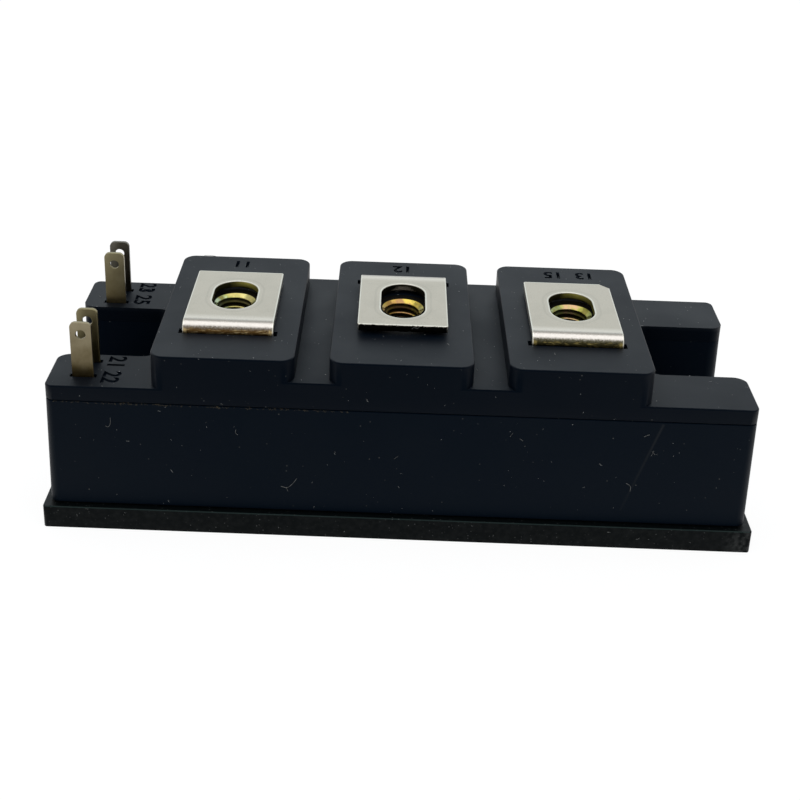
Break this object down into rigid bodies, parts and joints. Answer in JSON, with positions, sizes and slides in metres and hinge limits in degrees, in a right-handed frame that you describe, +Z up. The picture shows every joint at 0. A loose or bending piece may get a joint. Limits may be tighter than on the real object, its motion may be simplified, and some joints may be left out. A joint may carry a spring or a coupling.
{
  "type": "darlington transistor module",
  "caption": "Power transistor module in a black moulded case on a metal base, with screw terminals on raised pedestals and push-on control tabs at one end.",
  "frame": {"origin": "centre of the base plate's underside", "axes": "+X along the module towards the end without control tabs, +Y towards the rear, +Z up through the terminals"},
  "size_m": [0.094, 0.034, 0.0288],
  "materials": {
    "base_metal": "dull black oxide on the plated copper's edges, dusty",
    "bond": "cured black adhesive",
    "case_plastic": "satin moulded black plastic, faint dust and scratches",
    "lid_plastic": "satin moulded black plastic, faint dust and scratches",
    "terminal_nickel": "satin nickel plate",
    "nut_zinc": "yellow passivated zinc plate",
    "tab_nickel": "dull tinned plate",
    "solder": "soft solder",
    "ceramic": "sintered alumina",
    "copper": "bare copper",
    "silicon": "metallised silicon",
    "bond_wire": "drawn aluminium wire",
    "gel": "clear silicone gel",
    "resin": "cast resin"
  },
  "bodies": {
    "root": {"base_plate": "base_metal", "frame_bond": "bond", "case_frame": "case_plastic", "terminal_lid": "lid_plastic", "strap_left": "terminal_nickel", "strap_middle": "terminal_nickel", "strap_right": "terminal_nickel", "nut_left": "nut_zinc", "nut_middle": "nut_zinc", "nut_right": "nut_zinc", "tab_front_outer": "tab_nickel", "tab_front_inner": "tab_nickel", "tab_rear_inner": "tab_nickel", "tab_rear_outer": "tab_nickel", "solder_left": "solder", "solder_right": "solder", "substrate_left": "ceramic", "substrate_right": "ceramic", "copper_left": "copper", "copper_right": "copper", "transistor_left": "silicon", "transistor_right": "silicon", "diode_left": "silicon", "diode_right": "silicon", "wires_left": "bond_wire", "wires_right": "bond_wire", "link_strap": "copper", "gel_fill": "gel", "resin_seal": "resin"}
  },
  "joints": []
}
